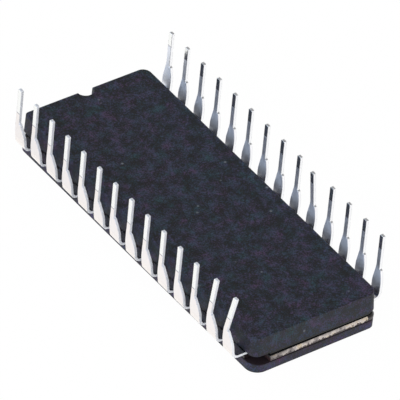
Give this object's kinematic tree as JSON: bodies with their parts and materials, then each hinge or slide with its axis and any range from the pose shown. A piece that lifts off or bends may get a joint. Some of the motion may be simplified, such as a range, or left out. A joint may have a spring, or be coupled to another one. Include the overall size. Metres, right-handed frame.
{
  "type": "eprom chip",
  "caption": "Windowed ceramic memory chip in a frit-sealed dual in-line package, lying on its lid with its leads up, a few of them bent over.",
  "frame": {"origin": "middle of the lid's outer face, at the base of the part as it lies; the face lies on the floor plane", "axes": "+X along the body, away from the index notch; +Y towards the row of pins 1 to 14; +Z from the lid to the base, the way the pins point"},
  "size_m": [0.0369, 0.0166, 0.0085],
  "materials": {
    "ceramic": "matte pressed black alumina",
    "seal_glass": "glossy fired sealing glass",
    "lead_plating": "satin tin plating, brighter where dipped",
    "window_glass": "clear polished",
    "silicon": "polished, patterned",
    "gold_attach": "dull gold",
    "aluminium_wire": "bright drawn wire"
  },
  "bodies": {
    "root": {"base_plate": "ceramic", "lid_plate": "ceramic", "window": "window_glass", "seal_glass": "seal_glass", "lead_01": "lead_plating", "lead_02": "lead_plating", "lead_03": "lead_plating", "lead_04": "lead_plating", "lead_05": "lead_plating", "lead_06": "lead_plating", "lead_07": "lead_plating", "lead_08": "lead_plating", "lead_09": "lead_plating", "lead_10": "lead_plating", "lead_11": "lead_plating", "lead_12": "lead_plating", "lead_13": "lead_plating", "lead_14": "lead_plating", "lead_15": "lead_plating", "lead_16": "lead_plating", "lead_17": "lead_plating", "lead_18": "lead_plating", "lead_19": "lead_plating", "lead_20": "lead_plating", "lead_21": "lead_plating", "lead_22": "lead_plating", "lead_23": "lead_plating", "lead_24": "lead_plating", "lead_25": "lead_plating", "lead_26": "lead_plating", "lead_27": "lead_plating", "lead_28": "lead_plating", "die": "silicon", "die_attach": "gold_attach", "bond_wires": "aluminium_wire"}
  },
  "joints": []
}
